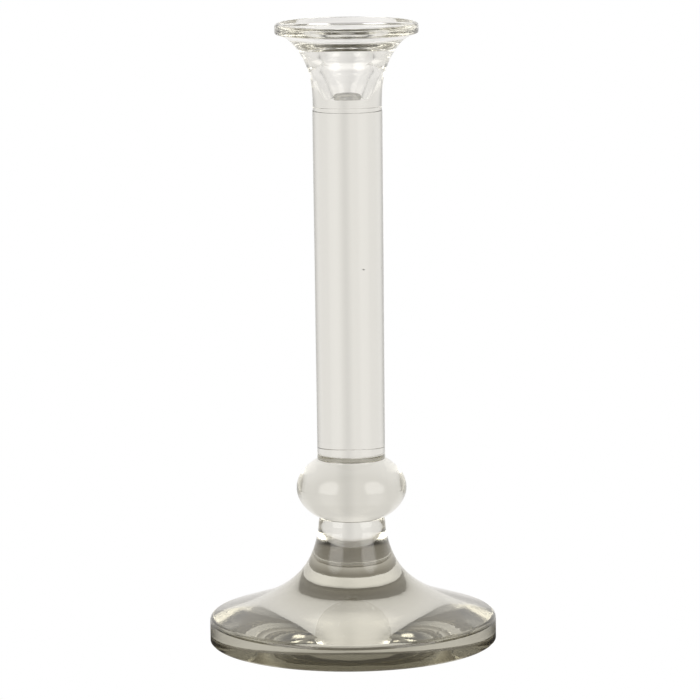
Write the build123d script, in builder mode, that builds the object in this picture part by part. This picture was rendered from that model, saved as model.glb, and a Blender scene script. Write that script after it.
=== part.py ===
"""Solid glass candlestick, bonded from turned and pressed pieces.

Four pieces of smoke-tinted glass stand on one vertical axis. Each is ground flat where it meets
the next and held there by a thin film of clear adhesive. From the table up: a heavy flared foot
with a short neck, a flattened ball, a long round column, and a trumpet-shaped candle cup whose
wide rim catches drips.

Millimetres, +Z up. The origin is on the table, at the centre of the foot.
"""
from build123d import *
import os
from math import sqrt

# Heights of the pieces along the axis
FOOT_HEIGHT = 61.0
BALL_HEIGHT = 31.2
COLUMN_HEIGHT = 166.0
CUP_HEIGHT = 41.5
FILM = 0.1                      # adhesive between two ground faces
FILM_INSET = 0.8                # the film ends this far inside the smaller face's radius

# Foot
FOOT_RADIUS = 69.4
FOOT_BAND = 12.2                # height of the upright edge
FOOT_BAND_ROUND = 2.4           # rounding where the edge turns into the top slope
FOOT_BEVEL = 0.8                # ground bevel round the underside
FOOT_SLOPE_RADIUS = 51.8        # inner end of the straight top slope
FOOT_SLOPE_Z = 18.0
FOOT_FLARE_RADIUS = 34.3        # the slope turning up
FOOT_FLARE_Z = 26.0
FOOT_WAIST_RADIUS = 22.1        # the lower part of the neck
FOOT_WAIST_Z = 38.0
FOOT_NECK_RADIUS = 17.3         # the upper part
FOOT_NECK_Z = 50.0
FOOT_COLLAR_RADIUS = 16.3       # nearly upright below the top face
FOOT_COLLAR_Z = 55.5
FOOT_TOP_RADIUS = 15.5
FOOT_TOP_ROUND = 0.5

# Ball: a flattened sphere cut flat below, with a low land on top for the column
BALL_RADIUS = 26.6
BALL_SEMI_HEIGHT = 17.8
BALL_BOTTOM_RADIUS = 16.3
LAND_RADIUS = 16.35
LAND_ROUND = 0.3
LAND_FILLET = 1.4               # hollow where the land meets the ball

# Column: a drawn rod, very slightly thicker at the top
COLUMN_BOTTOM_RADIUS = 16.35
COLUMN_TOP_RADIUS = 16.75
COLUMN_ROUND = 0.25

# Candle cup: drops are measured down from the rim's top
CUP_BOTTOM_RADIUS = 16.5
CUP_BOTTOM_ROUND = 0.2
CUP_WAIST_RADIUS = 19.5         # the outside wall, starting to flare
CUP_WAIST_DROP = 20.0
CUP_FLARE_RADIUS = 25.5
CUP_FLARE_DROP = 10.0
RIM_RADIUS = 34.3
RIM_BAND = 4.7                  # height of the upright band round the rim
RIM_BAND_ROUND = 0.6            # rounding of the band's lower edge
RIM_TOP_ROUND = 1.6
PAN_EDGE_RADIUS = 32.4          # outer edge of the dished drip pan
PAN_RADIUS = 25.5               # half-way down the pan
PAN_DROP = 5.1
MOUTH_RADIUS = 14.8             # where the pan turns down into the socket
MOUTH_DROP = 9.2
MOUTH_ROUND = 1.0
SOCKET_RADIUS = 12.4            # the straight wall takes candles up to 24 mm across
SOCKET_WALL_DROP = 15.0         # where the straight wall starts
SOCKET_CONE_DROP = 21.5         # where it turns in to the conical bottom
SOCKET_ROUND = 12.0
SOCKET_END_RADIUS = 7.2         # flat end of the conical bottom
SOCKET_FLOOR = 5.6              # solid glass under the socket

# Where each piece starts and ends
FOOT_TOP = FOOT_HEIGHT
BALL_BOTTOM = FOOT_TOP + FILM
BALL_TOP = BALL_BOTTOM + BALL_HEIGHT
COLUMN_BOTTOM = BALL_TOP + FILM
COLUMN_TOP = COLUMN_BOTTOM + COLUMN_HEIGHT
CUP_BOTTOM = COLUMN_TOP + FILM
CUP_TOP = CUP_BOTTOM + CUP_HEIGHT

UPWARD = (0, 1)                 # tangent of an outline that runs straight up


def ball_drop(radius):
    """How far above or below its widest place the ball has this radius."""
    return BALL_SEMI_HEIGHT * sqrt(1 - (radius / BALL_RADIUS) ** 2)


def circles_at(part, height):
    """The part's circular edges at one height."""
    rings = part.edges().filter_by(GeomType.CIRCLE)
    return rings.filter_by(lambda ring: abs(ring.center().Z - height) < 0.01)


def save(part, label):
    part.label = label
    export_step(part, f"parts/{label}.step")


os.makedirs("parts", exist_ok=True)

# ---- foot: flat underside, upright edge, straight slope sweeping up into a slim neck
with BuildPart() as foot:
    with BuildSketch(Plane.XZ):
        with BuildLine():
            edge = Line((FOOT_RADIUS, 0), (FOOT_RADIUS, FOOT_BAND))
            slope = Line(edge @ 1, (FOOT_SLOPE_RADIUS, FOOT_SLOPE_Z))
            neck = Spline(
                slope @ 1,
                (FOOT_FLARE_RADIUS, FOOT_FLARE_Z),
                (FOOT_WAIST_RADIUS, FOOT_WAIST_Z),
                (FOOT_NECK_RADIUS, FOOT_NECK_Z),
                (FOOT_COLLAR_RADIUS, FOOT_COLLAR_Z),
                (FOOT_TOP_RADIUS, FOOT_TOP),
                tangents=[slope % 1, (-0.35, 1)],
            )
            Polyline(neck @ 1, (0, FOOT_TOP), (0, 0), edge @ 0)
        make_face()
    revolve(axis=Axis.Z)
    fillet(circles_at(foot, FOOT_BAND), FOOT_BAND_ROUND)
    fillet(circles_at(foot, FOOT_TOP), FOOT_TOP_ROUND)
    chamfer(circles_at(foot, 0), FOOT_BEVEL)
save(foot.part, "foot")

# ---- ball: part of an ellipse turned round the axis, cut flat, with the land on top
ball_middle = BALL_BOTTOM + ball_drop(BALL_BOTTOM_RADIUS)
with BuildPart() as ball:
    with BuildSketch(Plane.XZ) as ball_half:
        with Locations((0, ball_middle)):
            Ellipse(BALL_RADIUS, BALL_SEMI_HEIGHT)
        with Locations((0, BALL_BOTTOM)):
            Rectangle(BALL_RADIUS, BALL_TOP - BALL_BOTTOM, align=(Align.MIN, Align.MIN), mode=Mode.INTERSECT)
        with Locations((0, ball_middle)):
            Rectangle(LAND_RADIUS, BALL_TOP - ball_middle, align=(Align.MIN, Align.MIN))
    revolve(axis=Axis.Z)
    fillet(circles_at(ball, ball_middle + ball_drop(LAND_RADIUS)), LAND_FILLET)
    fillet(circles_at(ball, BALL_TOP), LAND_ROUND)
save(ball.part, "ball")

# ---- column: a solid rod with softened ends
with BuildPart() as column:
    with BuildSketch(Plane.XZ):
        with BuildLine():
            Polyline(
                (0, COLUMN_BOTTOM),
                (COLUMN_BOTTOM_RADIUS, COLUMN_BOTTOM),
                (COLUMN_TOP_RADIUS, COLUMN_TOP),
                (0, COLUMN_TOP),
                close=True,
            )
        make_face()
    revolve(axis=Axis.Z)
    fillet(circles_at(column, COLUMN_BOTTOM) + circles_at(column, COLUMN_TOP), COLUMN_ROUND)
save(column.part, "column")

# ---- candle cup: trumpet outside, dished pan on top, round socket with a conical bottom
mouth_z = CUP_TOP - MOUTH_DROP
cone_z = CUP_TOP - SOCKET_CONE_DROP
with BuildPart() as candle_cup:
    with BuildSketch(Plane.XZ):
        with BuildLine():
            wall = Spline(
                (CUP_BOTTOM_RADIUS, CUP_BOTTOM),
                (CUP_WAIST_RADIUS, CUP_TOP - CUP_WAIST_DROP),
                (CUP_FLARE_RADIUS, CUP_TOP - CUP_FLARE_DROP),
                (RIM_RADIUS, CUP_TOP - RIM_BAND),
                tangents=[UPWARD, (1, 0.3)],
            )
            rim = Polyline(wall @ 1, (RIM_RADIUS, CUP_TOP), (PAN_EDGE_RADIUS, CUP_TOP))
            pan = Spline(
                rim @ 1,
                (PAN_RADIUS, CUP_TOP - PAN_DROP),
                (MOUTH_RADIUS, mouth_z),
                tangents=[(-1, -0.6), (-1, -0.18)],
            )
            throat = Spline(
                pan @ 1,
                (SOCKET_RADIUS, CUP_TOP - SOCKET_WALL_DROP),
                tangents=[(-0.6, -1), (0, -1)],
            )
            Polyline(
                throat @ 1,
                (SOCKET_RADIUS, cone_z),
                (SOCKET_END_RADIUS, CUP_BOTTOM + SOCKET_FLOOR),
                (0, CUP_BOTTOM + SOCKET_FLOOR),
                (0, CUP_BOTTOM),
                wall @ 0,
            )
        make_face()
    revolve(axis=Axis.Z)
    fillet(circles_at(candle_cup, CUP_BOTTOM), CUP_BOTTOM_ROUND)
    fillet(circles_at(candle_cup, mouth_z), MOUTH_ROUND)
    fillet(circles_at(candle_cup, cone_z), SOCKET_ROUND)
    fillet(circles_at(candle_cup, CUP_TOP - RIM_BAND), RIM_BAND_ROUND)
    fillet(circles_at(candle_cup, CUP_TOP).sort_by(SortBy.RADIUS)[-1], RIM_TOP_ROUND)
save(candle_cup.part, "candle_cup")

# ---- adhesive: a thin clear disc in each joint, just short of the smaller face's edge
joints = {
    "ball_adhesive": (FOOT_TOP, FOOT_TOP_RADIUS),
    "column_adhesive": (BALL_TOP, COLUMN_BOTTOM_RADIUS),
    "cup_adhesive": (COLUMN_TOP, CUP_BOTTOM_RADIUS),
}
for name, (height, face_radius) in joints.items():
    with BuildPart() as adhesive:
        with BuildSketch(Plane.XY.offset(height)):
            Circle(face_radius - FILM_INSET)
        extrude(amount=FILM)
    save(adhesive.part, name)

print(f"height {CUP_TOP:.1f} mm, foot {2 * FOOT_RADIUS:.1f} mm across, rim {2 * RIM_RADIUS:.1f} mm")
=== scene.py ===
"""Looks of the glass candlestick: glass, adhesive, light tent and camera.

Metres, +Z up. The origin is on the table, at the centre of the foot.
"""
import math

import bmesh
import bpy
from mathutils import Matrix, Vector


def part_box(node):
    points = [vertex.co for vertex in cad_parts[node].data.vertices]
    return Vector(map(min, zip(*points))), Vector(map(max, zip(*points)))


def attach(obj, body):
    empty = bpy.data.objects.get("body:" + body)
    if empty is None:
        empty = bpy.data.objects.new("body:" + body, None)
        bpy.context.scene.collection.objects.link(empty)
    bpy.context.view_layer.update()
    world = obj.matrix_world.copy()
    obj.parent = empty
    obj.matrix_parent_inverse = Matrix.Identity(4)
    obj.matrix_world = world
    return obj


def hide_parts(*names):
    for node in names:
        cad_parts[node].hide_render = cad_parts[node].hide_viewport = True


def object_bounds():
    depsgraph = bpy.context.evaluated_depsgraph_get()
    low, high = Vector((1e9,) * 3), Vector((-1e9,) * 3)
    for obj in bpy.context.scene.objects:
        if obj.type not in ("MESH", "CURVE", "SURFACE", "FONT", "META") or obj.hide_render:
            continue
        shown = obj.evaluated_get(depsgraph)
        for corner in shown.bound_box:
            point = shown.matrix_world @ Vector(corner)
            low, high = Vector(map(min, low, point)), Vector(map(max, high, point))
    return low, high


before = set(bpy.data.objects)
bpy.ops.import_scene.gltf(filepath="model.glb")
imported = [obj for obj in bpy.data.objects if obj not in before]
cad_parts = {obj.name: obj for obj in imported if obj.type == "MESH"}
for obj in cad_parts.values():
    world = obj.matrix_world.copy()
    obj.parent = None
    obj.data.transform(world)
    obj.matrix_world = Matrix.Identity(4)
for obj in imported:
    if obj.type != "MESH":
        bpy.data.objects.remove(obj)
cad_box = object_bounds()
scene = bpy.context.scene

MM = 0.001
TOP = cad_box[1][2]                     # height of the rim
FOOT_RADIUS = cad_box[1][0]

# ---- pieces
PRESSED_NODES = ("foot", "ball", "candle_cup")
FILM_NODES = ("ball_adhesive", "column_adhesive", "cup_adhesive")
FILM_MARGIN = 0.02 * MM                 # air left above and below each film, so no two faces coincide
FILM_HOLLOW = 0.03 * MM                 # how far the film's edge draws in between the two faces
FILM_STEPS = 96
WELD = 0.001 * MM                       # points of a film closer than this become one

# ---- glass and adhesive
GLASS_IOR = 1.5
GLASS_TINT = (0.945, 0.942, 0.929, 1)   # smoke grey
GLASS_DENSITY = 100.0                   # per metre
GLASS_PALE = (1.0, 1.0, 1.0, 1)
GLASS_CLOUD = (0.985, 0.982, 0.975, 1)  # faint variation over the surface
CLOUD_WAVES = (30, 30, 30)              # waves per metre along X, Y and Z
CLOUD_DETAIL = 3
PRESSED_WAVES = (45, 45, 90)
PRESSED_DETAIL = 1
PRESSED_HEIGHT = 0.025 * MM
DRAWN_WAVES = (180, 180, 5)             # streaks along the rod
DRAWN_DETAIL = 3
DRAWN_HEIGHT = 0.045 * MM
HAZE_ROUGHNESS = 0.012
GLASS_HAZE = (0.45, 0.70)               # cloud values between which the haze comes in
ADHESIVE_HAZE = (0.40, 0.65)
SEED_SCALE = 100.0                      # cells per metre, with one seed in each
SEED_RADIUS = 0.36 * MM
SEED_HEIGHT = 0.22 * MM
ADHESIVE_IOR = 1.48
ADHESIVE_COLOR = (0.93, 0.93, 0.90, 1)

# ---- light: a bright backdrop that leans overhead, dim sides, a room behind the camera, two softboxes
WHITE = (1, 1, 1, 1)
LIGHT_COLOR = (1.0, 0.985, 0.962, 1)    # a little warm
BACKDROP_LIGHT = 0.94
SIDE_LIGHT = 0.22
ROOM_LIGHT = 0.72
BACKDROP_ELEVATION = math.radians(25)   # of the middle of the backdrop
BACKDROP_EDGE = (0.08, 0.64)            # how squarely behind a direction is, from dim to bright
ROOM_EDGE = (-0.75, -0.30)              # how far a direction goes along +Y, from the room to its end
PANEL_GAP = 0.06                        # sideways place of the dimmer seam between the backdrop's panels
PANEL_GAP_EDGE = (0.0, 0.14)
PANEL_GAP_SHARE = 0.88
SOFTBOX_AZIMUTH = math.radians(52)      # either side of the camera
SOFTBOX_ELEVATION = math.radians(20)
SOFTBOX_TALL = 0.6                      # heights count for so much, so the softboxes are taller than wide
SOFTBOX_EDGE = (math.cos(math.radians(27)), math.cos(math.radians(14)))
SOFTBOX_LIGHT = 2.8
SOFTBOX_GLOW = 0.25                     # of their light, on the floor below them
TOP_PANEL_ELEVATION = math.radians(42)  # a wide soft panel, high behind the candlestick
TOP_PANEL_EDGE = (math.cos(math.radians(28)), math.cos(math.radians(8)))
TOP_PANEL_LIGHT = 0.33

# ---- floor
FLOOR_RADIUS = 2.5
FLOOR_STEPS = 96
FLOOR_DROP = 0.5 * MM                   # below the foot, so that the two faces don't coincide
SHADE_COLOR = (1.0, 0.93, 0.80, 1)      # light under the foot has come through the glass
SHADE_SHARE = 0.31                      # of the floor's light that reaches under the foot
SHADE_SPAN = (0.9 * FOOT_RADIUS, 1.55 * FOOT_RADIUS)    # from deepest shade to none

# ---- camera
CAMERA_DISTANCE = 2.127
CAMERA_ELEVATION = math.radians(9.45)
CAMERA_ROLL = math.radians(-0.65)
CAMERA_LENS = 227.3                     # millimetres, as is the sensor's width
CAMERA_SENSOR = 36
CAMERA_AIM = 0.4743 * TOP
LIGHT_BOUNCES = 32                      # light crosses many glass faces
GLOSSY_BOUNCES = 16


def towards(azimuth, elevation):
    """The unit direction with this azimuth, measured from the camera's side, and elevation."""
    level = math.cos(elevation)
    return Vector((level * math.sin(azimuth), -level * math.cos(azimuth), math.sin(elevation)))


# ---- nodes

def new_material(name):
    """A material with no nodes but its output."""
    material = bpy.data.materials.new(name)
    material.use_nodes = True
    nodes = material.node_tree.nodes
    nodes.clear()
    out = nodes.new("ShaderNodeOutputMaterial")
    return material, nodes, material.node_tree.links, out


def set_material(obj, material):
    """Give an object this material and no other."""
    obj.data.materials.clear()
    obj.data.materials.append(material)


def feed(links, value, socket):
    """Link an output to a socket, or set the socket where value is a number or a tuple."""
    if isinstance(value, bpy.types.NodeSocket):
        links.new(value, socket)
    else:
        socket.default_value = value


def math_node(nodes, links, operation, first, second):
    """A Math node's result. Each value is an output or a number."""
    node = nodes.new("ShaderNodeMath")
    node.operation = operation
    feed(links, first, node.inputs[0])
    feed(links, second, node.inputs[1])
    return node.outputs["Value"]


def vector_node(nodes, links, operation, vector, fixed=None):
    """A Vector Math node, worked on a vector and, where the operation takes one, a fixed vector."""
    node = nodes.new("ShaderNodeVectorMath")
    node.operation = operation
    feed(links, vector, node.inputs[0])
    if fixed is not None:
        node.inputs[1].default_value = fixed
    return node


def dot(nodes, links, direction, fixed):
    """How nearly a direction points along a fixed one."""
    return vector_node(nodes, links, "DOT_PRODUCT", direction, fixed).outputs["Value"]


def scaled(nodes, links, color, strength):
    """A colour, an output or three numbers, made as bright as strength says."""
    node = vector_node(nodes, links, "SCALE", color)
    links.new(strength, node.inputs["Scale"])
    return node.outputs["Vector"]


def mixed(nodes, links, share, first, second):
    """The first colour where share is 0, changing to the second where it is 1."""
    node = nodes.new("ShaderNodeMix")
    node.data_type = "RGBA"
    links.new(share, node.inputs["Factor"])
    feed(links, first, node.inputs["A"])
    feed(links, second, node.inputs["B"])
    return node.outputs["Result"]


def ramp(nodes, links, value, span, at_low, at_high):
    """A smooth change from at_low, where value is at the low end of span, to at_high."""
    step = nodes.new("ShaderNodeMapRange")
    step.interpolation_type = "SMOOTHSTEP"
    for socket, number in zip(("From Min", "From Max", "To Min", "To Max"), (*span, at_low, at_high)):
        step.inputs[socket].default_value = number
    links.new(value, step.inputs["Value"])
    return step.outputs["Result"]


def noise(nodes, links, waves, detail):
    """Noise in the piece's own space, with so many waves per metre along each axis."""
    place = nodes.new("ShaderNodeTexCoord")
    stretch = nodes.new("ShaderNodeMapping")
    stretch.inputs["Scale"].default_value = waves
    links.new(place.outputs["Object"], stretch.inputs["Vector"])
    texture = nodes.new("ShaderNodeTexNoise")
    texture.inputs["Scale"].default_value = 1.0
    texture.inputs["Detail"].default_value = detail
    links.new(stretch.outputs["Vector"], texture.inputs["Vector"])
    return texture.outputs["Fac"]


def bump(nodes, links, height, distance, normal=None):
    """A normal bent by height, up to distance."""
    node = nodes.new("ShaderNodeBump")
    node.inputs["Strength"].default_value = 1.0
    node.inputs["Distance"].default_value = distance
    links.new(height, node.inputs["Height"])
    if normal is not None:
        links.new(normal, node.inputs["Normal"])
    return node.outputs["Normal"]


# ---- materials

def clear_shader(nodes, links, out, ior):
    """A shader that light passes through, as the material's surface."""
    shader = nodes.new("ShaderNodeBsdfPrincipled")
    shader.inputs["IOR"].default_value = ior
    shader.inputs["Transmission Weight"].default_value = 1.0
    links.new(shader.outputs["BSDF"], out.inputs["Surface"])
    return shader


def seeds(nodes, links):
    """Sparse small round pits, where bubbles reached the surface."""
    place = nodes.new("ShaderNodeTexCoord")
    cells = nodes.new("ShaderNodeTexVoronoi")
    cells.inputs["Scale"].default_value = SEED_SCALE
    links.new(place.outputs["Object"], cells.inputs["Vector"])
    return ramp(nodes, links, cells.outputs["Distance"], (0, SEED_RADIUS * SEED_SCALE), 0, 1)


def glass(name, waves, detail, height):
    """Clear glass that darkens with the light's way through it, with faint waves, haze and seeds."""
    material, nodes, links, out = new_material(name)
    shader = clear_shader(nodes, links, out, GLASS_IOR)
    cloud = noise(nodes, links, CLOUD_WAVES, CLOUD_DETAIL)
    links.new(mixed(nodes, links, cloud, GLASS_PALE, GLASS_CLOUD), shader.inputs["Base Color"])
    links.new(ramp(nodes, links, cloud, GLASS_HAZE, 0, HAZE_ROUGHNESS), shader.inputs["Roughness"])
    wavy = bump(nodes, links, noise(nodes, links, waves, detail), height)
    links.new(bump(nodes, links, seeds(nodes, links), SEED_HEIGHT, wavy), shader.inputs["Normal"])
    tint = nodes.new("ShaderNodeVolumeAbsorption")
    tint.inputs["Color"].default_value = GLASS_TINT
    tint.inputs["Density"].default_value = GLASS_DENSITY
    links.new(tint.outputs["Volume"], out.inputs["Volume"])
    return material


def cured_adhesive():
    """Clear adhesive, a little cloudy in places."""
    material, nodes, links, out = new_material("cured_adhesive")
    shader = clear_shader(nodes, links, out, ADHESIVE_IOR)
    shader.inputs["Base Color"].default_value = ADHESIVE_COLOR
    cloud = noise(nodes, links, CLOUD_WAVES, CLOUD_DETAIL)
    links.new(ramp(nodes, links, cloud, ADHESIVE_HAZE, 0, HAZE_ROUGHNESS), shader.inputs["Roughness"])
    return material


def paper():
    """The floor's paper, which gives out the light that it would pass on."""
    material, nodes, links, out = new_material("paper")
    emission = nodes.new("ShaderNodeEmission")
    light = white_to_camera(nodes, links, floor_light(nodes, links))
    links.new(light, emission.inputs["Color"])
    links.new(emission.outputs["Emission"], out.inputs["Surface"])
    return material


# ---- light

def surroundings(nodes, links, direction):
    """How bright the backdrop, the sides and the room are along a unit direction."""
    squarely = dot(nodes, links, direction, towards(math.pi, BACKDROP_ELEVATION))
    backdrop = ramp(nodes, links, squarely, BACKDROP_EDGE, SIDE_LIGHT, BACKDROP_LIGHT)
    sideways = math_node(nodes, links, "SUBTRACT", dot(nodes, links, direction, (1, 0, 0)), PANEL_GAP)
    from_gap = math_node(nodes, links, "ABSOLUTE", sideways, 0)
    gap = ramp(nodes, links, from_gap, PANEL_GAP_EDGE, PANEL_GAP_SHARE, 1)
    backdrop = math_node(nodes, links, "MULTIPLY", backdrop, gap)
    behind = dot(nodes, links, direction, (0, 1, 0))
    room = ramp(nodes, links, behind, ROOM_EDGE, ROOM_LIGHT - SIDE_LIGHT, 0)
    return math_node(nodes, links, "ADD", backdrop, room)


def lamp(nodes, links, direction, middle, edge, light, tall=1.0):
    """A soft light round one direction, drawn out upwards where tall is below 1."""
    squash = Vector((1, 1, tall))
    flatter = vector_node(nodes, links, "MULTIPLY", direction, squash).outputs["Vector"]
    flatter = vector_node(nodes, links, "NORMALIZE", flatter).outputs["Vector"]
    nearness = dot(nodes, links, flatter, (middle * squash).normalized())
    return ramp(nodes, links, nearness, edge, 0, light)


def softboxes(nodes, links, direction, strength):
    """The two softboxes beside the camera."""
    lights = []
    for azimuth in (-SOFTBOX_AZIMUTH, SOFTBOX_AZIMUTH):
        middle = towards(azimuth, SOFTBOX_ELEVATION)
        lights.append(lamp(nodes, links, direction, middle, SOFTBOX_EDGE, strength, SOFTBOX_TALL))
    return math_node(nodes, links, "ADD", *lights)


def white_to_camera(nodes, links, light):
    """Plain white where it is seen directly, and light where the glass sees it."""
    path = nodes.new("ShaderNodeLightPath")
    return mixed(nodes, links, path.outputs["Is Camera Ray"], light, WHITE)


def floor_light(nodes, links):
    """The surroundings' light on the floor, shaded and warmer under and near the foot."""
    place = nodes.new("ShaderNodeNewGeometry")
    flat = vector_node(nodes, links, "MULTIPLY", place.outputs["Position"], (1, 1, 0)).outputs["Vector"]
    reach = vector_node(nodes, links, "LENGTH", flat).outputs["Value"]
    outward = vector_node(nodes, links, "NORMALIZE", flat).outputs["Vector"]
    open_share = ramp(nodes, links, reach, SHADE_SPAN, 0, 1)
    shade = ramp(nodes, links, reach, SHADE_SPAN, SHADE_SHARE, 1)
    light = surroundings(nodes, links, outward)
    glow = softboxes(nodes, links, outward, SOFTBOX_GLOW * SOFTBOX_LIGHT)
    light = math_node(nodes, links, "MULTIPLY", math_node(nodes, links, "ADD", light, glow), shade)
    return scaled(nodes, links, mixed(nodes, links, open_share, SHADE_COLOR, LIGHT_COLOR), light)


def sky_light(nodes, links):
    """Everything that the glass sees above the floor."""
    direction = nodes.new("ShaderNodeTexCoord").outputs["Generated"]
    light = surroundings(nodes, links, direction)
    light = math_node(nodes, links, "ADD", light, softboxes(nodes, links, direction, SOFTBOX_LIGHT))
    middle = towards(math.pi, TOP_PANEL_ELEVATION)
    panel = lamp(nodes, links, direction, middle, TOP_PANEL_EDGE, TOP_PANEL_LIGHT)
    light = math_node(nodes, links, "ADD", light, panel)
    return scaled(nodes, links, LIGHT_COLOR[:3], light)


# ---- shapes

def new_object(name, bm):
    """An object in the scene with the mesh that bm holds."""
    mesh = bpy.data.meshes.new(name)
    bm.to_mesh(mesh)
    bm.free()
    obj = bpy.data.objects.new(name, mesh)
    scene.collection.objects.link(obj)
    return obj


def film_disc(node, material):
    """The adhesive in one joint: a thin disc, drawn in round its edge, clear of both glass faces."""
    low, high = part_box(node)
    radius, bottom, top = high[0], low[2] + FILM_MARGIN, high[2] - FILM_MARGIN
    edge = radius - FILM_HOLLOW
    outline = [(0, bottom), (radius, bottom), (edge, (bottom + top) / 2), (radius, top), (0, top)]
    bm = bmesh.new()
    corners = [bm.verts.new((across, 0, up)) for across, up in outline]
    sides = [bm.edges.new(pair) for pair in zip(corners, corners[1:])]
    bmesh.ops.spin(bm, geom=corners + sides, axis=(0, 0, 1), angle=2 * math.pi, steps=FILM_STEPS)
    bmesh.ops.remove_doubles(bm, verts=bm.verts, dist=WELD)
    bmesh.ops.recalc_face_normals(bm, faces=bm.faces)
    piece = new_object(f"{node}_film", bm)
    set_material(piece, material)
    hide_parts(node)
    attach(piece, "root")


def floor_disc():
    """A round floor just below the foot."""
    bm = bmesh.new()
    bmesh.ops.create_circle(bm, cap_ends=True, segments=FLOOR_STEPS, radius=FLOOR_RADIUS)
    bmesh.ops.translate(bm, verts=bm.verts, vec=(0, 0, -FLOOR_DROP))
    return new_object("floor", bm)


# ---- the candlestick
pressed_glass = glass("pressed_glass", PRESSED_WAVES, PRESSED_DETAIL, PRESSED_HEIGHT)
drawn_glass = glass("drawn_glass", DRAWN_WAVES, DRAWN_DETAIL, DRAWN_HEIGHT)
for name in PRESSED_NODES:
    set_material(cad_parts[name], pressed_glass)
set_material(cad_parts["column"], drawn_glass)
adhesive = cured_adhesive()
for name in FILM_NODES:
    film_disc(name, adhesive)

# ---- the studio
floor = floor_disc()
set_material(floor, paper())

world = bpy.data.worlds.new("studio")
world.use_nodes = True
nodes, links = world.node_tree.nodes, world.node_tree.links
links.new(white_to_camera(nodes, links, sky_light(nodes, links)), nodes["Background"].inputs["Color"])
scene.world = world
scene.view_settings.view_transform = "Standard"

# ---- the camera
camera_data = bpy.data.cameras.new("camera")
camera_data.sensor_width = CAMERA_SENSOR
camera_data.lens = CAMERA_LENS
camera = bpy.data.objects.new("camera", camera_data)
away = towards(0, CAMERA_ELEVATION)
place = Vector((0, 0, CAMERA_AIM)) + CAMERA_DISTANCE * away
turn = (-away).to_track_quat("-Z", "Y").to_matrix().to_4x4()
camera.matrix_world = Matrix.Translation(place) @ turn @ Matrix.Rotation(CAMERA_ROLL, 4, "Z")
scene.collection.objects.link(camera)
scene.camera = camera

scene.cycles.max_bounces = LIGHT_BOUNCES
scene.cycles.transmission_bounces = LIGHT_BOUNCES
scene.cycles.glossy_bounces = GLOSSY_BOUNCES
scene.cycles.use_denoising = True
